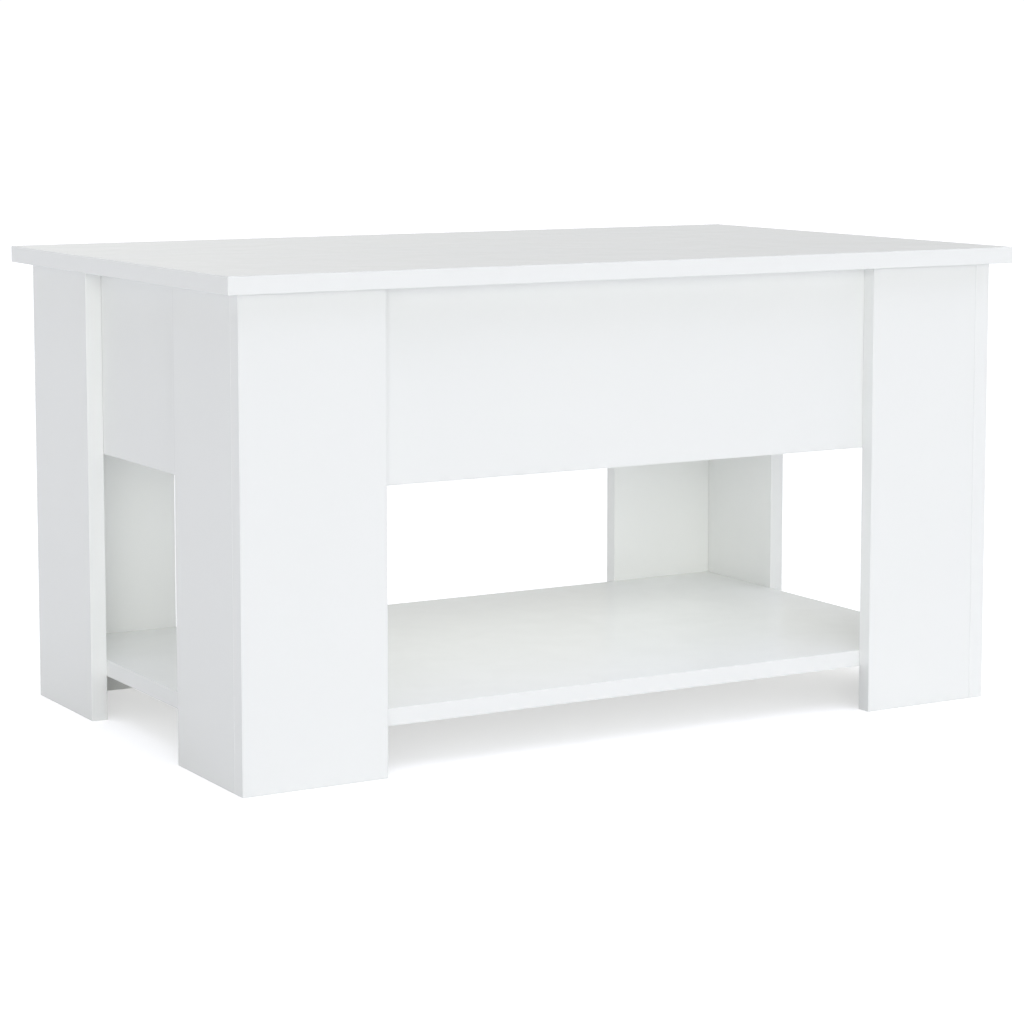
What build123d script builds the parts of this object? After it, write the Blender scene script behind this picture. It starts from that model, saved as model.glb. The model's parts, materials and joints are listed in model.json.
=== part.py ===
"""Lift top coffee table, in millimetres.

+X runs along the table, -Y is the front, +Z is up.
The origin is on the floor, under the middle of the table.
Every separate piece is written to its own STEP file in parts/.
"""

import os
from math import atan, atan2, cos, hypot, pi, radians, sin

from build123d import *

# Table top and overall size
TOP_LENGTH = 790.0
TOP_WIDTH = 480.0
HEIGHT = 422.0
BOARD = 15.0
OVERHANG = 15.0
EDGE_RADIUS = 0.6
TOP_GAP = 1.0

# Legs: each is an L made of two boards
LEG_X = TOP_LENGTH / 2 - OVERHANG
LEG_Y = TOP_WIDTH / 2 - OVERHANG
LEG_LONG_FACE = 132.5
LEG_SHORT_FACE = 129.0
LEG_HEIGHT = HEIGHT - BOARD - TOP_GAP

# Storage box and lower shelf
BOX_X = LEG_X - BOARD
BOX_Y = LEG_Y - BOARD
BOX_BOTTOM = 242.0
SHELF_BOTTOM = 40.0
INSIDE_X = BOX_X - BOARD
INSIDE_Y = BOX_Y - BOARD

# Cam locks and the bolts they pull on
CAM_RADIUS = 7.5
CAM_DEPTH = 12.5
CAM_SETBACK = 24.0
CAM_THROAT = 3.5
CAM_SLOT_LENGTH = 7.5
CAM_SLOT_WIDTH = 1.3
BOLT_DEPTH = 11.0
BOLT_RADIUS = 3.0
BOLT_BORE = 3.75
BOLT_COLLAR = 3.4
BOLT_NECK = 2.3
BOLT_TIP = 3.1
THREAD_ROOT = 2.5
THREAD_PITCH = 2.4
CAP_RADIUS = 8.4
CAP_THICKNESS = 0.9

# Dowels and screws
DOWEL_RADIUS = 4.0
DOWEL_SHORT = 10.0
DOWEL_LONG = 20.0
DOWEL_CHAMFER = 0.8
LEG_SCREW_LENGTH = 27.0
LEG_SCREW_SHANK = 1.6
LEG_SCREW_HEAD = 3.9
LEG_SCREW_SINK = 4.15
METAL_SCREW_LENGTH = 12.5
METAL_SCREW_SHANK = 1.7
METAL_SCREW_HEAD = 4.5
METAL_SCREW_HOLE = 2.2
SCREW_POINT = 3.0
SLACK = 0.05

# Heights and places of the joints
LEG_CAM_HEIGHTS = (20.0, 330.0)
LEG_DOWEL_HEIGHTS = (130.0, 388.0)
SHELF_SIDE_CAM = 130.0
SHELF_SIDE_DOWEL = 170.0
SHELF_END_CAM = 285.0
SHELF_END_DOWEL = 325.0
BOX_CAM_HEIGHTS = (272.0, 384.0)
BOX_DOWEL_HEIGHT = 345.0
FLOOR_CAMS_X = (-225.0, 0.0, 225.0)
FLOOR_DOWELS_X = (-112.0, 112.0)
FLOOR_CAMS_Y = (-90.0, 90.0)
END_SCREW_X = 300.0
END_SCREW_HEIGHTS = (284.0, 360.0)
SIDE_SCREW_Y = 146.0
SIDE_SCREW_HEIGHTS = (272.0, 326.0)
PAD_X = 330.0
PAD_RADIUS = 4.0
PAD_GAP = 0.3

# Lift mechanism, seen from the side as (y, z)
ARM_LENGTH = 190.0
CLOSED_ANGLE = 8.0
FRONT_PIVOT = (-62.0, 366.0)
REAR_PIVOT = (-10.0, 336.0)
FRONT_ARM_WIDTH = 26.0
REAR_ARM_WIDTH = 22.0
TAIL_RADIUS = 24.0
TAIL_ANGLE = 205.0
TAIL_END_RADIUS = 9.0
FRONT_RIB_WIDTH = 9.0
REAR_RIB_WIDTH = 8.0
RIB_SHORTER = 76.0
ANCHOR = (156.6, 299.4)
STOP = (-93.4, 381.7)
STOP_RADIUS = 5.0
PIN_RADIUS = 4.0
RUNNING_FIT = 0.08
HEAD_RADIUS = 7.0
WASHER_RADIUS = 8.5
SPACER_RADIUS = 9.0
SPRING_PIN_RADIUS = 4.8
SPRING_PIN_NECK = 3.0
SPRING_FLANGE_RADIUS = 7.0
STUD_RADIUS = 2.5
STEEL = 2.0

# Mechanism layers, measured inwards from the side wall
PLATE = (0.0, 2.0)
SPACER = (2.0, 3.7)
ARM = (4.0, 6.5)
ARM_RIB = (6.5, 7.3)
BASE_WASHER = (6.8, 7.6)
BASE_HEAD = (7.6, 10.0)
TOP_OUTER_HEAD = (2.3, 3.7)
TOP_WASHER = (6.8, 8.6)
RAIL = (8.6, 10.6)
TOP_INNER_HEAD = (10.6, 12.4)
RAIL_REACH = 32.0
RAIL_LOW = 393.0
RAIL_FRONT = -160.0
RAIL_BACK = 194.0
SPRING_PLANE = 18.5
PIN_TUBE = (6.5, 21.0)
ANCHOR_TUBE = (2.0, 21.0)
PIN_FLANGE = (20.4, 22.4)
FOOT_REACH = 12.0
BASE_SCREWS = ((-98, 350), (-60, 306), (62, 302), (122, 301), (8, 382))
RAIL_SCREWS_Y = (-140.0, -40.0, 60.0, 170.0)
RAIL_SCREW_INSET = 22.0

# Extension spring
WIRE_RADIUS = 1.1
COIL_RADIUS = 5.9
COILS = 40
HOOK_LEG = 10.5
ELBOW = 2.5

cuts = {}
groups = {}
parts = {}


def add_cut(node, shape):
    cuts.setdefault(node, []).append(shape)


def add_piece(node, shape):
    groups.setdefault(node, []).append(shape)


def rod(radius, start, end):
    """A cylinder along local X from start to end."""
    middle = (start + end) / 2
    return Pos(middle, 0, 0) * Rot(0, 90, 0) * Cylinder(radius, abs(end - start))


def post(radius, low, high):
    """A cylinder along local Z from low to high."""
    return Pos(0, 0, (low + high) / 2) * Cylinder(radius, high - low)


def board(x_range, y_range, z_range):
    """A laminated board with lightly eased edges."""
    size = [abs(r[1] - r[0]) for r in (x_range, y_range, z_range)]
    centre = [(r[0] + r[1]) / 2 for r in (x_range, y_range, z_range)]
    block = Box(*size)
    block = fillet(block.edges(), EDGE_RADIUS)
    return Pos(*centre) * block


# ---------------------------------------------------------------- fixings


def cam_joint(point, into_edge, face_out, edge_board, face_board, capped=False):
    """A cam lock in edge_board that pulls on a bolt standing in face_board."""
    frame = Plane(origin=point, x_dir=into_edge, z_dir=face_out)
    face = BOARD / 2
    bottom = face - CAM_DEPTH
    seat = Pos(CAM_SETBACK, 0, 0) * post(CAM_RADIUS, bottom - 0.1, face + 1)
    add_cut(edge_board, frame * seat)
    add_cut(edge_board, frame * rod(BOLT_BORE, -1, CAM_SETBACK - 3))
    add_cut(face_board, frame * rod(BOLT_RADIUS + SLACK, -BOLT_DEPTH - 0.2, 0.5))

    lock = Pos(CAM_SETBACK, 0, 0) * post(CAM_RADIUS - 0.1, bottom, face - 0.2)
    lock = lock - rod(CAM_THROAT, CAM_SETBACK - 9, CAM_SETBACK + 2.5)
    for turn in (0, 90):
        groove = Rot(0, 0, turn) * Box(CAM_SLOT_LENGTH, CAM_SLOT_WIDTH, 1.6)
        groove = Pos(CAM_SETBACK, 0, face - 0.9) * groove
        lock = lock - groove
    add_piece("cam_locks", frame * lock)

    bolt = rod(BOLT_RADIUS, -BOLT_DEPTH, 0) + rod(BOLT_COLLAR, 0, 1.6)
    bolt = bolt + rod(BOLT_NECK, 1.6, 19.5)
    bolt = bolt + rod(BOLT_TIP, 19.5, 22.5)
    for step in range(4):
        place = -BOLT_DEPTH + 2.0 + THREAD_PITCH * step
        thread_gap = rod(BOLT_RADIUS + 0.2, place, place + 0.8)
        thread_gap = thread_gap - rod(THREAD_ROOT, place - 1, place + 2)
        bolt = bolt - thread_gap
    add_piece("cam_bolts", frame * bolt)
    if capped:
        cap = Pos(CAM_SETBACK, 0, 0) * post(CAP_RADIUS, face, face + CAP_THICKNESS)
        cap = chamfer(cap.edges().sort_by(Axis.Z)[-1:], 0.5)
        add_piece("cam_cover_caps", frame * cap)


def dowel_joint(point, into_edge, face_out, edge_board, face_board):
    """A beech dowel between the edge of one board and the face of another."""
    frame = Plane(origin=point, x_dir=into_edge, z_dir=face_out)
    hole = rod(DOWEL_RADIUS, -DOWEL_SHORT, DOWEL_LONG)
    add_cut(edge_board, frame * hole)
    add_cut(face_board, frame * hole)
    dowel = rod(DOWEL_RADIUS - SLACK, -DOWEL_SHORT + 0.3, DOWEL_LONG - 0.3)
    dowel = chamfer(dowel.edges().filter_by(GeomType.CIRCLE), DOWEL_CHAMFER)
    add_piece("wooden_dowels", frame * dowel)


def countersunk_screw(node, point, direction, length, boards):
    """A wood screw whose flat head is level with the face it enters."""
    frame = Plane(origin=point, x_dir=direction, z_dir=(0, 0, 1))
    head = Pos(1.3, 0, 0) * Rot(0, 90, 0) * Cone(LEG_SCREW_HEAD, LEG_SCREW_SHANK, 2.2)
    shank = rod(LEG_SCREW_SHANK, 2.0, length - SCREW_POINT)
    tip = Rot(0, 90, 0) * Cone(LEG_SCREW_SHANK, 0.3, SCREW_POINT)
    tip = Pos(length - SCREW_POINT / 2, 0, 0) * tip
    screw = head + shank + tip
    for turn in (0, 90):
        screw = screw - Rot(turn, 0, 0) * Pos(0.6, 0, 0) * Box(1.9, 4.0, 0.9)
    add_piece(node, frame * screw)
    sink = Pos(1.2, 0, 0) * Rot(0, 90, 0) * Cone(LEG_SCREW_SINK, 1.75, 2.4)
    hole = sink + rod(LEG_SCREW_SINK, -1.0, 0.02)
    hole = hole + rod(LEG_SCREW_SHANK + SLACK, 1.0, length + 0.3)
    for name in boards:
        add_cut(name, frame * hole)


def truss_screw(node, point, direction, plate, wood, plate_thickness):
    """A low headed screw through a metal plate into a board."""
    frame = Plane(origin=point, x_dir=direction, z_dir=(0, 1, 0))
    head = rod(METAL_SCREW_HEAD, -1.4, 0)
    head = chamfer(head.edges().filter_by(GeomType.CIRCLE).sort_by(Axis.X)[:1], 0.7)
    length = METAL_SCREW_LENGTH
    shank = rod(METAL_SCREW_SHANK, 0, length - SCREW_POINT)
    tip = Rot(0, 90, 0) * Cone(METAL_SCREW_SHANK, 0.3, SCREW_POINT)
    tip = Pos(length - SCREW_POINT / 2, 0, 0) * tip
    screw = head + shank + tip
    for turn in (0, 90):
        screw = screw - Rot(turn, 0, 0) * Pos(-1.2, 0, 0) * Box(1.2, 4.2, 0.9)
    add_piece(node, frame * screw)
    hole = rod(METAL_SCREW_SHANK + SLACK, plate_thickness - 0.5, length + 0.3)
    add_cut(plate, frame * rod(METAL_SCREW_HOLE, -1, plate_thickness + 1))
    add_cut(wood, frame * hole)


# ----------------------------------------------------------------- boards

SIDES = {-1: "left", 1: "right"}
ENDS = {-1: "front", 1: "back"}

parts["table_top"] = board(
    (-TOP_LENGTH / 2, TOP_LENGTH / 2),
    (-TOP_WIDTH / 2, TOP_WIDTH / 2),
    (HEIGHT - BOARD, HEIGHT),
)

for sx, side in SIDES.items():
    for sy, end in ENDS.items():
        leg = end + "_" + side + "_leg_"
        long_panel = leg + end + "_panel"
        side_panel = leg + "side_panel"
        long_covers = sx * sy > 0
        long_outer = LEG_X if long_covers else LEG_X - BOARD
        side_outer = LEG_Y - BOARD if long_covers else LEG_Y
        height = (0, LEG_HEIGHT)
        parts[long_panel] = board(
            (sx * (LEG_X - LEG_LONG_FACE), sx * long_outer),
            (sy * (LEG_Y - BOARD), sy * LEG_Y),
            height,
        )
        parts[side_panel] = board(
            (sx * (LEG_X - BOARD), sx * LEG_X),
            (sy * (LEG_Y - LEG_SHORT_FACE), sy * side_outer),
            height,
        )
        if long_covers:
            edge, face = side_panel, long_panel
            corner = (sx * (LEG_X - BOARD / 2), sy * (LEG_Y - BOARD))
            into, out = (0, -sy, 0), (-sx, 0, 0)
        else:
            edge, face = long_panel, side_panel
            corner = (sx * (LEG_X - BOARD), sy * (LEG_Y - BOARD / 2))
            into, out = (-sx, 0, 0), (0, -sy, 0)
        for z in LEG_CAM_HEIGHTS:
            cam_joint((*corner, z), into, out, edge, face)
        for z in LEG_DOWEL_HEIGHTS:
            dowel_joint((*corner, z), into, out, edge, face)

parts["lower_shelf"] = board(
    (-BOX_X, BOX_X), (-BOX_Y, BOX_Y), (SHELF_BOTTOM, SHELF_BOTTOM + BOARD)
)
shelf_middle = SHELF_BOTTOM + BOARD / 2
for sx, side in SIDES.items():
    for sy, end in ENDS.items():
        leg = end + "_" + side + "_leg_"
        long_panel = leg + end + "_panel"
        side_panel = leg + "side_panel"
        down = (0, 0, -1)
        to_side = (sx * BOX_X, sy * SHELF_SIDE_CAM, shelf_middle)
        cam_joint(to_side, (-sx, 0, 0), down, "lower_shelf", side_panel)
        to_side = (sx * BOX_X, sy * SHELF_SIDE_DOWEL, shelf_middle)
        dowel_joint(to_side, (-sx, 0, 0), down, "lower_shelf", side_panel)
        to_end = (sx * SHELF_END_CAM, sy * BOX_Y, shelf_middle)
        cam_joint(to_end, (0, -sy, 0), down, "lower_shelf", long_panel)
        to_end = (sx * SHELF_END_DOWEL, sy * BOX_Y, shelf_middle)
        dowel_joint(to_end, (0, -sy, 0), down, "lower_shelf", long_panel)

box_height = (BOX_BOTTOM, LEG_HEIGHT)
for sy, end in ENDS.items():
    parts["box_" + end + "_panel"] = board(
        (-BOX_X, BOX_X), (sy * INSIDE_Y, sy * BOX_Y), box_height
    )
for sx, side in SIDES.items():
    wall = "box_" + side + "_panel"
    parts[wall] = board((sx * INSIDE_X, sx * BOX_X), (-INSIDE_Y, INSIDE_Y), box_height)
    for sy, end in ENDS.items():
        mate = "box_" + end + "_panel"
        x = sx * (INSIDE_X + BOARD / 2)
        for z in BOX_CAM_HEIGHTS:
            point = (x, sy * INSIDE_Y, z)
            cam_joint(point, (0, -sy, 0), (-sx, 0, 0), wall, mate, capped=True)
        point = (x, sy * INSIDE_Y, BOX_DOWEL_HEIGHT)
        dowel_joint(point, (0, -sy, 0), (-sx, 0, 0), wall, mate)

parts["compartment_floor"] = board(
    (-INSIDE_X, INSIDE_X), (-INSIDE_Y, INSIDE_Y), (BOX_BOTTOM, BOX_BOTTOM + BOARD)
)
floor_middle = BOX_BOTTOM + BOARD / 2
for sy, end in ENDS.items():
    mate = "box_" + end + "_panel"
    for x in FLOOR_CAMS_X:
        point = (x, sy * INSIDE_Y, floor_middle)
        cam_joint(point, (0, -sy, 0), (0, 0, -1), "compartment_floor", mate)
    for x in FLOOR_DOWELS_X:
        point = (x, sy * INSIDE_Y, floor_middle)
        dowel_joint(point, (0, -sy, 0), (0, 0, -1), "compartment_floor", mate)
for sx, side in SIDES.items():
    mate = "box_" + side + "_panel"
    for y in FLOOR_CAMS_Y:
        point = (sx * INSIDE_X, y, floor_middle)
        cam_joint(point, (-sx, 0, 0), (0, 0, -1), "compartment_floor", mate)

# Screws that hold the storage box to the legs
for sx, side in SIDES.items():
    for sy, end in ENDS.items():
        leg = end + "_" + side + "_leg_"
        for z in END_SCREW_HEIGHTS:
            pair = ["box_" + end + "_panel", leg + end + "_panel"]
            point = (sx * END_SCREW_X, sy * INSIDE_Y, z)
            countersunk_screw("leg_screws", point, (0, sy, 0), LEG_SCREW_LENGTH, pair)
        for z in SIDE_SCREW_HEIGHTS:
            pair = ["box_" + side + "_panel", leg + "side_panel"]
            point = (sx * INSIDE_X, sy * SIDE_SCREW_Y, z)
            countersunk_screw("leg_screws", point, (sx, 0, 0), LEG_SCREW_LENGTH, pair)

# Soft pads on the rim that the closed top comes down on
for sx in SIDES:
    for sy in ENDS:
        pad = post(PAD_RADIUS, LEG_HEIGHT, LEG_HEIGHT + TOP_GAP - PAD_GAP)
        pad = Pos(sx * PAD_X, sy * (INSIDE_Y + BOARD / 2), 0) * pad
        add_piece("top_bumpers", pad)


# --------------------------------------------------------- lift mechanism


def arm_point(pivot, angle, radius=ARM_LENGTH):
    turn = radians(angle)
    return (pivot[0] + radius * cos(turn), pivot[1] + radius * sin(turn))


FRONT_TIP = arm_point(FRONT_PIVOT, CLOSED_ANGLE)
REAR_TIP = arm_point(REAR_PIVOT, CLOSED_ANGLE)
SPRING_PIN = arm_point(REAR_PIVOT, TAIL_ANGLE, TAIL_RADIUS)


def layer(sx, sketch, span):
    """Extrudes a sketch drawn in (y, z) over a range of depths from the side wall."""
    near = INSIDE_X - span[0]
    solid = extrude(sketch, span[1] - span[0])
    if sx < 0:
        plane = Plane(origin=(-near, 0, 0), x_dir=(0, 1, 0), z_dir=(1, 0, 0))
        return plane * solid
    plane = Plane(origin=(near - (span[1] - span[0]), 0, 0), x_dir=(0, 1, 0), z_dir=(1, 0, 0))
    return plane * solid


def disc(point, radius):
    return Pos(*point) * Circle(radius)


def ring(point, outer, inner):
    return disc(point, outer) - disc(point, inner)


def bar(start, end, start_radius, end_radius):
    """A flat link with round ends."""
    ends = disc(start, start_radius) + disc(end, end_radius)
    return make_hull(ends.edges())


def arm_rib(pivot, width):
    length = ARM_LENGTH - RIB_SHORTER
    middle = arm_point(pivot, CLOSED_ANGLE, ARM_LENGTH / 2)
    return Pos(*middle) * Rot(0, 0, CLOSED_ANGLE) * SlotOverall(length, width)


def pivot_pin(sx, point, head, shank_start, second_head=None):
    spans = [s for s in (head, second_head) if s]
    low = min([shank_start] + [s[0] for s in spans])
    high = max(s[1] for s in spans)
    pin = layer(sx, disc(point, PIN_RADIUS), (low, high))
    for span in spans:
        pin = pin + layer(sx, disc(point, HEAD_RADIUS), span)
    return pin


def extension_spring(span):
    """A close wound spring along Z whose round hooks are centred on z = 0 and z = span."""
    tilt = radians(83.4)
    for _ in range(6):
        offset = ELBOW * (1 - cos(tilt))
        start_angle = pi - atan2(COIL_RADIUS, offset)
        end_angle = atan2(COIL_RADIUS, offset)
        turns = COILS + (end_angle - start_angle) / (2 * pi)
        height = span - 2 * (HOOK_LEG + ELBOW * sin(tilt))
        pitch = height / turns
        tilt = pi / 2 - atan(pitch / (2 * pi * COIL_RADIUS))
    hook = hypot(COIL_RADIUS, offset)
    helix = Edge.make_helix(pitch, height, COIL_RADIUS)
    helix = helix.rotate(Axis.Z, start_angle * 180 / pi)
    helix = helix.translate((0, 0, HOOK_LEG + ELBOW * sin(tilt)))
    low = Vector(0, hook, HOOK_LEG)
    high = Vector(0, hook, span - HOOK_LEG)
    first_elbow = Edge.make_tangent_arc(low, Vector(0, 0, 1), helix.position_at(0))
    last_elbow = Edge.make_tangent_arc(helix.position_at(1), helix.tangent_at(1), high)

    def hook_arc(centre, start, end):
        angles = [radians(start), radians((start + end) / 2), radians(end)]
        spots = [(0, hook * cos(a), centre + hook * sin(a)) for a in angles]
        return Edge.make_three_point_arc(*[Vector(*spot) for spot in spots])

    path = Wire(
        [
            hook_arc(0, -290, -145),
            hook_arc(0, -145, 0),
            Edge.make_line(Vector(0, hook, 0), low),
            first_elbow,
            helix,
            last_elbow,
            Edge.make_line(high, Vector(0, hook, span)),
            hook_arc(span, 0, 145),
            hook_arc(span, 145, 290),
        ]
    )
    start = Plane(origin=path.position_at(0), z_dir=path.tangent_at(0))
    return sweep(start * Circle(WIRE_RADIUS), path=path)


def place_spring(sx, spring):
    x = sx * (INSIDE_X - SPRING_PLANE)
    along = (0, ANCHOR[0] - SPRING_PIN[0], ANCHOR[1] - SPRING_PIN[1])
    origin = (x, SPRING_PIN[0], SPRING_PIN[1])
    return Plane(origin=origin, x_dir=(1, 0, 0), z_dir=along) * spring


plate_outline = Polyline(
    (-112, 336), (-112, 398), (24, 398), (48, 320), (173, 316), (173, 286), (-78, 286), (-112, 336)
)
plate_sketch = make_face(plate_outline)
plate_sketch = fillet(plate_sketch.vertices(), 7)
rail_top = HEIGHT - BOARD
rail_length = RAIL_BACK - RAIL_FRONT
rail_middle = (RAIL_FRONT + RAIL_BACK) / 2
rail_strip = Pos(rail_middle, (RAIL_LOW + rail_top) / 2) * Rectangle(
    rail_length, rail_top - RAIL_LOW
)
lug_edges = disc(FRONT_TIP, 12.5) + disc(REAR_TIP, 13.0)
lug_edges = lug_edges + Pos(146, rail_top - 5) * Rectangle(88, 10)
rail_sketch = rail_strip + make_hull(lug_edges.edges())

spring_length = hypot(ANCHOR[0] - SPRING_PIN[0], ANCHOR[1] - SPRING_PIN[1])
spring_shape = extension_spring(spring_length)

for sx, side in SIDES.items():
    wall = "box_" + side + "_panel"
    name = side + "_lift_"

    plate = layer(sx, plate_sketch, PLATE)
    foot_sketch = Pos(44, 287) * Rectangle(216, 2)
    plate = plate + layer(sx, foot_sketch, (0.0, FOOT_REACH))
    plate = plate + layer(sx, disc(STOP, STUD_RADIUS), (1.0, 7.0))
    for pivot in (FRONT_PIVOT, REAR_PIVOT):
        plate = plate - layer(sx, disc(pivot, PIN_RADIUS + SLACK), (-1, 3))
    plate = plate - layer(sx, disc(ANCHOR, SPRING_PIN_NECK + SLACK), (-1, 3))
    plate = plate - layer(sx, Pos(20, 309) * SlotOverall(70, 12), (-1, 3))
    parts[name + "base_plate"] = plate

    front_end = FRONT_ARM_WIDTH / 2
    rear_end = REAR_ARM_WIDTH / 2
    front_arm = layer(sx, bar(FRONT_PIVOT, FRONT_TIP, front_end, front_end), ARM)
    front_arm = front_arm + layer(sx, arm_rib(FRONT_PIVOT, FRONT_RIB_WIDTH), ARM_RIB)
    rear_shape = bar(REAR_PIVOT, REAR_TIP, rear_end, rear_end)
    rear_shape = rear_shape + bar(REAR_PIVOT, SPRING_PIN, rear_end, TAIL_END_RADIUS)
    rear_arm = layer(sx, rear_shape, ARM)
    rear_arm = rear_arm + layer(sx, arm_rib(REAR_PIVOT, REAR_RIB_WIDTH), ARM_RIB)
    arm_hole = PIN_RADIUS + RUNNING_FIT
    for pivot in (FRONT_PIVOT, FRONT_TIP):
        front_arm = front_arm - layer(sx, disc(pivot, arm_hole), (3, 8))
    for pivot in (REAR_PIVOT, REAR_TIP):
        rear_arm = rear_arm - layer(sx, disc(pivot, arm_hole), (3, 8))
    rear_arm = rear_arm - layer(sx, disc(SPRING_PIN, SPRING_PIN_NECK + SLACK), (3, 8))
    parts[name + "front_arm"] = front_arm
    parts[name + "rear_arm"] = rear_arm

    rail = layer(sx, rail_sketch, RAIL)
    top_face = Pos(rail_middle, rail_top - STEEL / 2) * Rectangle(rail_length, STEEL)
    rail = rail + layer(sx, top_face, (RAIL[0], RAIL_REACH))
    for tip in (FRONT_TIP, REAR_TIP):
        rail = rail - layer(sx, disc(tip, PIN_RADIUS + SLACK), (8, 12))
    parts[name + "top_rail"] = rail

    for pivot in (FRONT_PIVOT, REAR_PIVOT):
        pin = pivot_pin(sx, pivot, BASE_HEAD, 0.2)
        add_piece(name + "base_pins", pin)
        fit = PIN_RADIUS + SLACK
        add_piece(name + "base_spacers", layer(sx, ring(pivot, SPACER_RADIUS, fit), SPACER))
        add_piece(name + "base_washers", layer(sx, ring(pivot, WASHER_RADIUS, fit), BASE_WASHER))
    for tip in (FRONT_TIP, REAR_TIP):
        pin = pivot_pin(sx, tip, TOP_OUTER_HEAD, 2.3, TOP_INNER_HEAD)
        add_piece(name + "top_pins", pin)
        fit = PIN_RADIUS + SLACK
        add_piece(name + "top_washers", layer(sx, ring(tip, WASHER_RADIUS, fit), TOP_WASHER))

    spring_pin = layer(sx, disc(SPRING_PIN, SPRING_PIN_NECK), (ARM[0], 7.0))
    spring_pin = spring_pin + layer(sx, disc(SPRING_PIN, SPRING_PIN_RADIUS), PIN_TUBE)
    spring_pin = spring_pin + layer(sx, disc(SPRING_PIN, SPRING_FLANGE_RADIUS), PIN_FLANGE)
    parts[name + "spring_pin"] = spring_pin
    anchor_pin = layer(sx, disc(ANCHOR, SPRING_PIN_NECK), (0.2, 3.0))
    anchor_pin = anchor_pin + layer(sx, disc(ANCHOR, SPRING_PIN_RADIUS), ANCHOR_TUBE)
    anchor_pin = anchor_pin + layer(sx, disc(ANCHOR, SPRING_FLANGE_RADIUS), PIN_FLANGE)
    parts[name + "spring_anchor"] = anchor_pin
    parts[name + "spring"] = place_spring(sx, spring_shape)

    bumper = layer(sx, ring(STOP, STOP_RADIUS, STUD_RADIUS + SLACK), (2.0, 7.0))
    parts[name + "stop_bumper"] = bumper

    for y, z in BASE_SCREWS:
        point = (sx * (INSIDE_X - PLATE[1]), y, z)
        truss_screw("base_plate_screws", point, (sx, 0, 0), name + "base_plate", wall, STEEL)
    for y in RAIL_SCREWS_Y:
        point = (sx * (INSIDE_X - RAIL_SCREW_INSET), y, rail_top - STEEL)
        truss_screw("rail_screws", point, (0, 0, 1), name + "top_rail", "table_top", STEEL)

# ------------------------------------------------------------------ output

for node, tools in cuts.items():
    parts[node] = parts[node] - tools

for node, pieces in groups.items():
    parts[node] = Compound(children=pieces)

os.makedirs("parts", exist_ok=True)
for node, shape in parts.items():
    export_step(shape, "parts/" + node + ".step")
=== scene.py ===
"""Looks of the lift top coffee table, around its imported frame. Metres, +Z up, front is -Y."""

import json
import math

import bmesh
import bpy
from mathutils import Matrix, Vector


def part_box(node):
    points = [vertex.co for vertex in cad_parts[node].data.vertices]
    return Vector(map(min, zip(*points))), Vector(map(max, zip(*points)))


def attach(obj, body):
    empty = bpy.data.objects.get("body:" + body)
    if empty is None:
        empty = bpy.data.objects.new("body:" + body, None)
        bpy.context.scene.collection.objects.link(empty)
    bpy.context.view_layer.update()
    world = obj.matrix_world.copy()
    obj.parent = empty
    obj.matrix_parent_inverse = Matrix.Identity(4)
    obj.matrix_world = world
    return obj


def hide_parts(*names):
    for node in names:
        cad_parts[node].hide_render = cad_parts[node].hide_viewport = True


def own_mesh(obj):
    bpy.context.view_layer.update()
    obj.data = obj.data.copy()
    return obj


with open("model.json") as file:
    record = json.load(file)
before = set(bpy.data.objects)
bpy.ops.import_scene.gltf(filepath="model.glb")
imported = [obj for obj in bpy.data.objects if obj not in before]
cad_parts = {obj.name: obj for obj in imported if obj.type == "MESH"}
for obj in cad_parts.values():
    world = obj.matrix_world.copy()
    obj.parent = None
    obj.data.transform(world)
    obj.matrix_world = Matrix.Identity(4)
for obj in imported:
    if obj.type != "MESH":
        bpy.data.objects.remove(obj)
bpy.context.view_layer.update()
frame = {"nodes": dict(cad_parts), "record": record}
NODES = frame["nodes"]
SIDES = ("left", "right")
BODY = "table_frame"

# Extension spring, as in the frame: wire, coil and hook sizes
WIRE_RADIUS = 0.0011
COIL_RADIUS = 0.0059
HOOK_RADIUS = 0.0063
COILS = 40
HOOK_LEG = 0.0105
STRAIGHT_LEG = 0.6 * HOOK_LEG
COIL_START = HOOK_LEG + 0.0022
COIL_LEAD = 0.02 * COIL_RADIUS
COIL_STEPS = 24
HOOK_STEPS = 48

# ------------------------------------------------------------ node helpers


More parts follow.
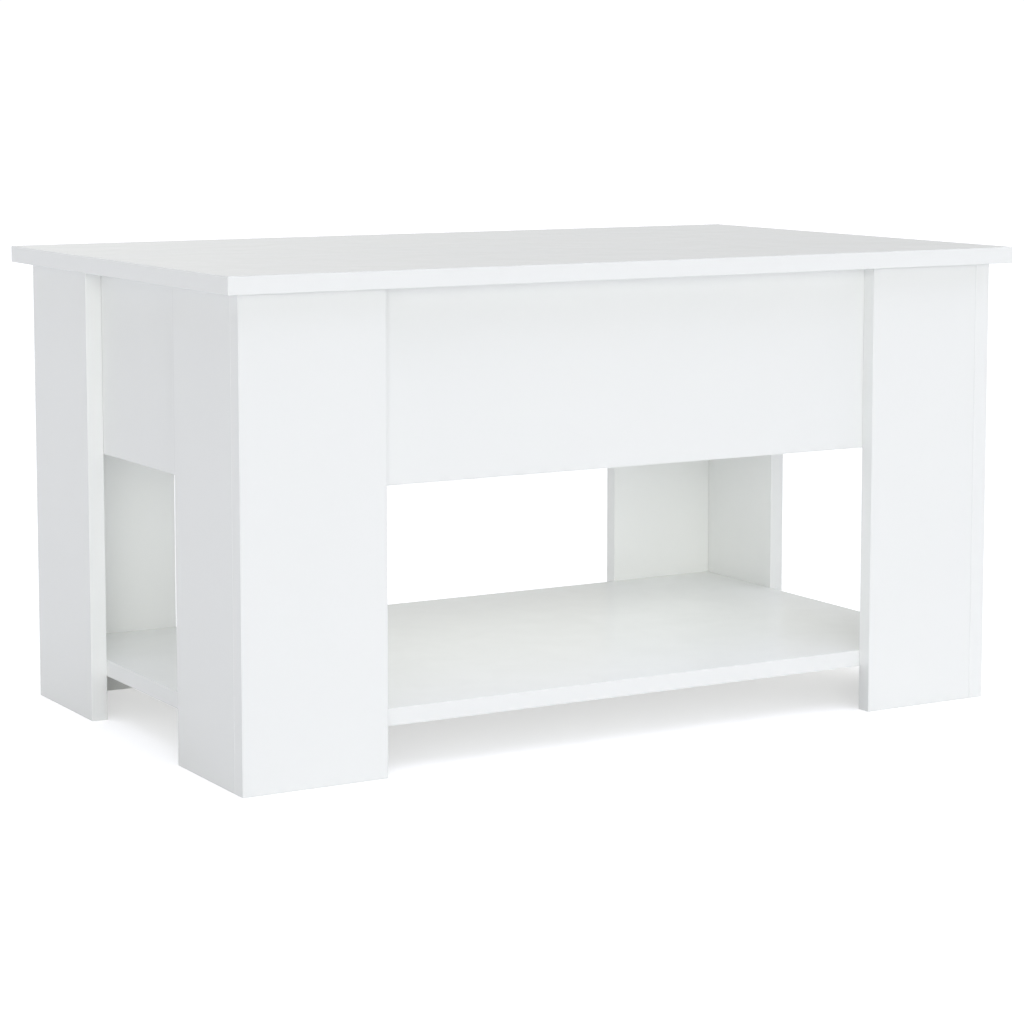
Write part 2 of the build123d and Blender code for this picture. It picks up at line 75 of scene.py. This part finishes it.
class Shader:
    """A Principled material whose nodes are added one call at a time."""

    def __init__(self, name, colour, roughness, metallic=0.0):
        self.material = bpy.data.materials.new(name)
        self.material.use_nodes = True
        self.tree = self.material.node_tree
        self.surface = self.tree.nodes["Principled BSDF"]
        self.surface.inputs["Base Color"].default_value = (*colour, 1)
        self.surface.inputs["Roughness"].default_value = roughness
        self.surface.inputs["Metallic"].default_value = metallic
        self.material.diffuse_color = (*colour, 1)
        self.place = self.tree.nodes.new("ShaderNodeTexCoord").outputs["Object"]

    def put(self, socket, value):
        if isinstance(value, bpy.types.NodeSocket):
            self.tree.links.new(value, socket)
        elif value is not None:
            socket.default_value = value

    def math(self, operation, *values):
        node = self.tree.nodes.new("ShaderNodeMath")
        node.operation = operation
        for socket, value in zip(node.inputs, values):
            self.put(socket, value)
        return node.outputs[0]

    def ramp(self, value, low, high, to_low=0.0, to_high=1.0):
        """Maps value from low..high to to_low..to_high, smoothly and clamped."""
        node = self.tree.nodes.new("ShaderNodeMapRange")
        node.interpolation_type = "SMOOTHSTEP"
        for socket, number in zip(node.inputs, (value, low, high, to_low, to_high)):
            self.put(socket, number)
        return node.outputs[0]

    def mix(self, share, first, second):
        node = self.tree.nodes.new("ShaderNodeMix")
        node.data_type = "RGBA"
        self.put(node.inputs["Factor"], share)
        self.put(node.inputs[6], (*first, 1) if isinstance(first, tuple) else first)
        self.put(node.inputs[7], (*second, 1) if isinstance(second, tuple) else second)
        return node.outputs[2]

    def noise(self, scale, detail=3.0, rough=0.5, stretch=None, distortion=0.0):
        vector = self.place
        if stretch is not None:
            mapping = self.tree.nodes.new("ShaderNodeMapping")
            mapping.inputs["Scale"].default_value = stretch
            self.put(mapping.inputs["Vector"], vector)
            vector = mapping.outputs[0]
        node = self.tree.nodes.new("ShaderNodeTexNoise")
        self.put(node.inputs["Vector"], vector)
        node.inputs["Scale"].default_value = scale
        node.inputs["Detail"].default_value = detail
        node.inputs["Roughness"].default_value = rough
        node.inputs["Distortion"].default_value = distortion
        return node.outputs["Fac"]

    def cells(self, scale):
        node = self.tree.nodes.new("ShaderNodeTexVoronoi")
        self.put(node.inputs["Vector"], self.place)
        node.inputs["Scale"].default_value = scale
        return node

    def bump(self, height, depth, before=None):
        """Adds relief of the given depth in metres."""
        node = self.tree.nodes.new("ShaderNodeBump")
        node.inputs["Distance"].default_value = depth
        self.put(node.inputs["Height"], height)
        self.put(node.inputs["Normal"], before)
        return node.outputs[0]

    def finish(self, colour=None, roughness=None, normal=None):
        self.put(self.surface.inputs["Base Color"], colour)
        self.put(self.surface.inputs["Roughness"], roughness)
        self.put(self.surface.inputs["Normal"], normal)
        return self.material


# --------------------------------------------------------------- materials

WHITE = (0.892, 0.904, 0.895)
WHITE_SHADE = (0.885, 0.898, 0.890)
BAND_WHITE = (0.894, 0.906, 0.900)
SEAM_GREY = (0.60, 0.605, 0.60)
CHIP_LIGHT = (0.60, 0.46, 0.30)
CHIP_DARK = (0.36, 0.25, 0.15)
BAND_THICKNESS = 0.0009
SEAM_HALF_WIDTH = 0.00012
FOIL_THICKNESS = 0.0004
BAND_BLEND = 0.00005

# Relief of the laminate, in metres
PEARL_DEPTH = 0.000003
WAVE_DEPTH = 0.000006
GROOVE_DEPTH = 0.00003
CHIP_DEPTH = 0.0003


def melamine_board(node):
    """White laminate on both faces, an edge band all round and raw chipboard in the holes."""
    low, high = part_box(node)
    size = high - low
    thin = min(range(3), key=lambda i: size[i])
    flat = [i for i in range(3) if i != thin]
    s = Shader("board_" + node, WHITE, 0.22)
    axes = s.tree.nodes.new("ShaderNodeSeparateXYZ")
    s.put(axes.inputs[0], s.place)

    def inside(i):
        below = s.math("SUBTRACT", axes.outputs[i], low[i])
        above = s.math("SUBTRACT", high[i], axes.outputs[i])
        return s.math("MINIMUM", below, above)

    to_border = s.math("MINIMUM", inside(flat[0]), inside(flat[1]))
    depth = inside(thin)

    cloud = s.noise(6.0, detail=2.0)
    fleck = s.noise(420.0, detail=2.0)
    tone = s.math("ADD", s.math("MULTIPLY", cloud, 0.75), s.math("MULTIPLY", fleck, 0.25))
    face = s.mix(s.ramp(tone, 0.35, 0.65), WHITE_SHADE, WHITE)
    band = s.mix(s.noise(90.0, detail=2.0), WHITE, BAND_WHITE)
    on_band = s.ramp(to_border, BAND_THICKNESS, BAND_THICKNESS + BAND_BLEND, 1.0, 0.0)
    off_seam = s.math("ABSOLUTE", s.math("SUBTRACT", to_border, BAND_THICKNESS))
    on_seam = s.ramp(off_seam, 0.0, SEAM_HALF_WIDTH, 0.55, 0.0)
    colour = s.mix(on_seam, s.mix(on_band, face, band), SEAM_GREY)

    below_foil = s.ramp(depth, FOIL_THICKNESS, FOIL_THICKNESS * 1.5)
    behind_band = s.ramp(to_border, BAND_THICKNESS, BAND_THICKNESS * 1.2)
    raw = s.math("MULTIPLY", below_foil, behind_band)
    chips = s.cells(520.0)
    chip_tone = s.noise(900.0, detail=4.0, rough=0.7)
    chip_mix = s.math("MULTIPLY", s.math("ADD", chips.outputs["Distance"], chip_tone), 0.7)
    chipboard = s.mix(chip_mix, CHIP_DARK, CHIP_LIGHT)
    colour = s.mix(raw, colour, chipboard)

    smear = s.noise(14.0, detail=4.0, rough=0.6, distortion=0.4)
    satin = s.ramp(smear, 0.3, 0.7, 0.20, 0.24)
    gloss = s.math("SUBTRACT", satin, s.math("MULTIPLY", on_band, 0.03))
    roughness = s.math("ADD", gloss, s.math("MULTIPLY", raw, 0.5))

    pearl = s.noise(1500.0, detail=2.0)
    wave = s.noise(55.0, detail=1.0)
    normal = s.bump(pearl, PEARL_DEPTH)
    normal = s.bump(wave, WAVE_DEPTH, normal)
    groove = s.math("SUBTRACT", 1.0, on_seam)
    normal = s.bump(groove, GROOVE_DEPTH, normal)
    normal = s.bump(s.math("MULTIPLY", raw, chip_tone), CHIP_DEPTH, normal)
    return s.finish(colour, roughness, normal)


def powder_coat():
    s = Shader("black_powder_coat", (0.022, 0.022, 0.024), 0.5)
    grain = s.noise(2600.0, detail=2.0)
    drift = s.noise(38.0, detail=3.0)
    colour = s.mix(drift, (0.018, 0.018, 0.020), (0.034, 0.034, 0.037))
    roughness = s.ramp(grain, 0.3, 0.7, 0.42, 0.58)
    return s.finish(colour, roughness, s.bump(grain, 0.00009))


def zinc_plate(name, tint, rough_low, rough_high):
    s = Shader(name, tint, rough_low, metallic=1.0)
    cloud = s.noise(160.0, detail=4.0, rough=0.6)
    fine = s.noise(1800.0, detail=2.0)
    darker = tuple(0.82 * c for c in tint)
    colour = s.mix(s.ramp(cloud, 0.3, 0.7), darker, tint)
    roughness = s.ramp(cloud, 0.25, 0.75, rough_high, rough_low)
    return s.finish(colour, roughness, s.bump(fine, 0.00002))


def drawn_wire():
    s = Shader("spring_wire", (0.56, 0.57, 0.59), 0.28, metallic=1.0)
    streak = s.noise(700.0, detail=3.0, stretch=(1.0, 0.2, 1.0))
    colour = s.mix(streak, (0.42, 0.43, 0.45), (0.66, 0.67, 0.69))
    return s.finish(colour, s.ramp(streak, 0.3, 0.7, 0.36, 0.22), s.bump(streak, 0.00002))


def moulded(name, colour, roughness, shade):
    s = Shader(name, colour, roughness)
    grain = s.noise(1300.0, detail=2.0)
    cloud = s.noise(120.0, detail=3.0)
    dim = tuple(shade * c for c in colour)
    tone = s.mix(s.ramp(cloud, 0.3, 0.7), dim, colour)
    rough = s.ramp(grain, 0.3, 0.7, roughness - 0.05, roughness + 0.05)
    return s.finish(tone, rough, s.bump(grain, 0.00003))


def beech():
    s = Shader("beech", (0.60, 0.42, 0.25), 0.6)
    grain = s.noise(300.0, detail=5.0, stretch=(0.25, 0.25, 1.0))
    fleck = s.noise(1600.0, detail=2.0)
    colour = s.mix(grain, (0.48, 0.31, 0.17), (0.70, 0.51, 0.32))
    return s.finish(colour, s.ramp(fleck, 0.3, 0.7, 0.52, 0.68), s.bump(fleck, 0.00006))


SHARED = {
    "black_steel": powder_coat(),
    "zinc_steel": zinc_plate("zinc_plated_steel", (0.66, 0.67, 0.69), 0.24, 0.38),
    "zinc_casting": zinc_plate("zinc_casting", (0.50, 0.51, 0.53), 0.42, 0.58),
    "spring_steel": drawn_wire(),
    "white_plastic": moulded("white_plastic", (0.84, 0.845, 0.84), 0.42, 0.96),
    "nylon": moulded("nylon", (0.74, 0.73, 0.69), 0.45, 0.93),
    "black_rubber": moulded("black_rubber", (0.028, 0.028, 0.029), 0.78, 0.8),
    "beech": beech(),
}

for entry in frame["record"]["subparts"]:
    node, slot = entry["node"], entry["material_slot"]
    mesh = NODES[node].data
    mesh.materials.clear()
    mesh.materials.append(melamine_board(node) if slot == "white_board" else SHARED[slot])

# ----------------------------------------------------------------- springs


def tube(name, points, radius, closed=False, around=12):
    """A round wire swept along points, with its ends closed."""
    count = len(points)
    built = bmesh.new()
    rings = []
    side = None
    for i, point in enumerate(points):
        ahead = points[(i + 1) % count] if closed else points[min(i + 1, count - 1)]
        behind = points[i - 1] if closed or i else points[0]
        along = (ahead - behind).normalized()
        if side is None:
            side = along.orthogonal()
        side = (side - along * side.dot(along)).normalized()
        up = along.cross(side)
        turns = [2 * math.pi * k / around for k in range(around)]
        spots = [point + radius * (math.cos(t) * side + math.sin(t) * up) for t in turns]
        rings.append([built.verts.new(spot) for spot in spots])
    pairs = list(zip(rings, rings[1:]))
    if closed:
        pairs.append((rings[-1], rings[0]))
    for first, second in pairs:
        for k in range(around):
            j = (k + 1) % around
            built.faces.new((first[k], first[j], second[j], second[k]))
    if not closed:
        built.faces.new(list(reversed(rings[0])))
        built.faces.new(rings[-1])
    for face in built.faces:
        face.smooth = len(face.verts) == 4
    mesh = bpy.data.meshes.new(name)
    built.to_mesh(mesh)
    built.free()
    piece = bpy.data.objects.new(name, mesh)
    bpy.context.scene.collection.objects.link(piece)
    mesh.materials.append(SHARED["spring_steel"])
    return piece


def middle(node):
    low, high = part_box(node)
    return (low + high) / 2


def lift_spring(side):
    """A coil built once between the hook pins on the table frame, and hook loops that stay
    round on their pins.
    """
    moving = middle(side + "_lift_spring_pin")
    fixed = middle(side + "_lift_spring_anchor")
    x = middle(side + "_lift_spring").x
    moving.x = x
    fixed.x = x
    along = (moving - fixed).normalized()
    span = (moving - fixed).length
    across = Vector((1, 0, 0))
    up = along.cross(across)
    up = up if up.z > 0 else -up

    def spot(distance, sideways, above):
        return fixed + along * distance + across * sideways + up * above

    coil_length = span - 2 * COIL_START
    points = [spot(0.0, 0, HOOK_RADIUS), spot(STRAIGHT_LEG, 0, HOOK_RADIUS)]
    steps = COILS * COIL_STEPS
    for i in range(steps + 1):
        turn = 2 * math.pi * COILS * i / steps
        distance = COIL_START + coil_length * i / steps + COIL_LEAD
        sideways = COIL_RADIUS * math.sin(turn)
        above = COIL_RADIUS * math.cos(turn)
        points.append(spot(distance, sideways, above))
    points.append(spot(span - STRAIGHT_LEG, 0, HOOK_RADIUS))
    points.append(spot(span, 0, HOOK_RADIUS))
    coil = tube(side + "_spring_coil", points, WIRE_RADIUS)
    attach(coil, BODY)
    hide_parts(side + "_lift_spring")
    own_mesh(coil)

    for centre, name, body in (
        (moving, "_spring_moving_hook", side + "_rear_arm"),
        (fixed, "_spring_fixed_hook", BODY),
    ):
        turns = [2 * math.pi * k / HOOK_STEPS for k in range(HOOK_STEPS)]
        ring = [centre + HOOK_RADIUS * (math.cos(t) * up + math.sin(t) * along) for t in turns]
        hook = tube(side + name, ring, WIRE_RADIUS, closed=True)
        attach(hook, body)


for side_name in SIDES:
    lift_spring(side_name)

# ------------------------------------------------------------------- stage

# Floor: corners, half its width, its colour, and the glow it lights with and shows
FLOOR_CORNERS = ((-1, -1), (1, -1), (1, 1), (-1, 1))
FLOOR_REACH = 40.0
FLOOR_WHITE = (0.9, 0.9, 0.9)
FLOOR_GLOW = 0.085
FLOOR_SHOWN_GLOW = 0.45

# Strength of the white that the camera sees behind the table
BACKDROP_SHOWN = 1.05

# Lamp just under the compartment floor: place, size and watts
FILL_PLACE = (0, -0.04, 0.236)
FILL_LENGTH = 0.6
FILL_WIDTH = 0.3
FILL_POWER = 0.29

# Camera: place, turn and drop in degrees, lens in millimetres
CAMERA_PLACE = (-1.3240, -2.2750, 0.5754)
CAMERA_TURN = 30.23
CAMERA_DROP = 6.2
CAMERA_LENS = 100.36
CAMERA_SHIFT = -0.12

NEUTRAL = (1.0, 1.0, 0.95)
SKY = (0.97, 0.985, 1.10)

# Heading and rise in degrees, tightness, strength and colour of each glow
FRONT_GLOW = (-115, 5, 40, 9.5, NEUTRAL)
HIGH_FRONT_GLOW = (-90, 60, 8, 1.4, SKY)
OVERHEAD_GLOW = (0, 90, 4, 0.92, SKY)
LEFT_GLOW = (180, 6, 4, 0.44, NEUTRAL)
RIGHT_GLOW = (0, 6, 4, 1.6, NEUTRAL)
BACK_GLOW = (90, 6, 4, 1.1, NEUTRAL)
GLOWS = (FRONT_GLOW, HIGH_FRONT_GLOW, OVERHEAD_GLOW, LEFT_GLOW, RIGHT_GLOW, BACK_GLOW)


def stage_material(name, colour, glow, shown_glow):
    """A matt white that gives off a little light, and looks brighter than it lights."""
    s = Shader(name, colour, 0.9)
    path = s.tree.nodes.new("ShaderNodeLightPath")
    brightness = s.ramp(path.outputs["Is Camera Ray"], 0.0, 1.0, glow, shown_glow)
    s.surface.inputs["Specular IOR Level"].default_value = 0.1
    s.surface.inputs["Emission Color"].default_value = (1, 1, 1, 1)
    s.put(s.surface.inputs["Emission Strength"], brightness)
    return s.material


def studio_floor():
    mesh = bpy.data.meshes.new("studio_floor")
    corners = [(x * FLOOR_REACH, y * FLOOR_REACH, 0) for x, y in FLOOR_CORNERS]
    mesh.from_pydata(corners, [], [(0, 1, 2, 3)])
    floor = bpy.data.objects.new("studio_floor", mesh)
    bpy.context.scene.collection.objects.link(floor)
    pale = stage_material("pale_floor", FLOOR_WHITE, FLOOR_GLOW, FLOOR_SHOWN_GLOW)
    mesh.materials.append(pale)


def studio_world():
    """White to the camera; as a light, a few soft glows around and above the table."""
    world = bpy.data.worlds.new("studio_world")
    bpy.context.scene.world = world
    world.use_nodes = True
    tree = world.node_tree
    direction = tree.nodes.new("ShaderNodeTexCoord").outputs["Generated"]

    def step(kind, operation, first, second):
        node = tree.nodes.new(kind)
        node.operation = operation
        tree.links.new(first, node.inputs[0])
        node.inputs[1].default_value = second
        return node

    def glow(towards, tightness, strength, colour):
        facing = step("ShaderNodeVectorMath", "DOT_PRODUCT", direction, towards)
        ahead = step("ShaderNodeMath", "MAXIMUM", facing.outputs["Value"], 0.0)
        shaped = step("ShaderNodeMath", "POWER", ahead.outputs[0], tightness)
        level = step("ShaderNodeMath", "MULTIPLY", shaped.outputs[0], strength)
        light = tree.nodes.new("ShaderNodeBackground")
        light.inputs["Color"].default_value = (*colour, 1)
        tree.links.new(level.outputs[0], light.inputs["Strength"])
        return light.outputs[0]

    total = None
    for heading, rise, tightness, strength, colour in GLOWS:
        turn, lift = math.radians(heading), math.radians(rise)
        flat = math.cos(lift)
        towards = (flat * math.cos(turn), flat * math.sin(turn), math.sin(lift))
        light = glow(towards, tightness, strength, colour)
        if total is None:
            total = light
            continue
        join = tree.nodes.new("ShaderNodeAddShader")
        tree.links.new(total, join.inputs[0])
        tree.links.new(light, join.inputs[1])
        total = join.outputs[0]

    shown = tree.nodes["Background"]
    shown.inputs["Color"].default_value = (1, 1, 1, 1)
    shown.inputs["Strength"].default_value = BACKDROP_SHOWN
    path = tree.nodes.new("ShaderNodeLightPath")
    mix = tree.nodes.new("ShaderNodeMixShader")
    tree.links.new(path.outputs["Is Camera Ray"], mix.inputs[0])
    tree.links.new(total, mix.inputs[1])
    tree.links.new(shown.outputs[0], mix.inputs[2])
    tree.links.new(mix.outputs[0], tree.nodes["World Output"].inputs[0])


def bay_fill():
    """A weak wide light under the compartment floor, so the open bay is not gloomy."""
    data = bpy.data.lights.new("bay_fill", "AREA")
    data.shape = "RECTANGLE"
    data.size = FILL_LENGTH
    data.size_y = FILL_WIDTH
    data.energy = FILL_POWER
    lamp = bpy.data.objects.new("bay_fill", data)
    bpy.context.scene.collection.objects.link(lamp)
    lamp.location = FILL_PLACE
    lamp.visible_camera = False


def main_camera():
    """A long lens at the front left, a little above the top and aimed slightly down."""
    data = bpy.data.cameras.new("main_camera")
    data.sensor_width = 36.0
    data.lens = CAMERA_LENS
    data.shift_y = CAMERA_SHIFT
    data.clip_end = 100.0
    camera = bpy.data.objects.new("main_camera", data)
    bpy.context.scene.collection.objects.link(camera)
    camera.location = CAMERA_PLACE
    turn = math.radians(CAMERA_TURN)
    drop = math.radians(CAMERA_DROP)
    camera.rotation_euler = (math.pi / 2 - drop, 0, -turn)
    bpy.context.scene.camera = camera


studio_floor()
studio_world()
bay_fill()
main_camera()
bpy.context.scene.view_settings.view_transform = "Standard"
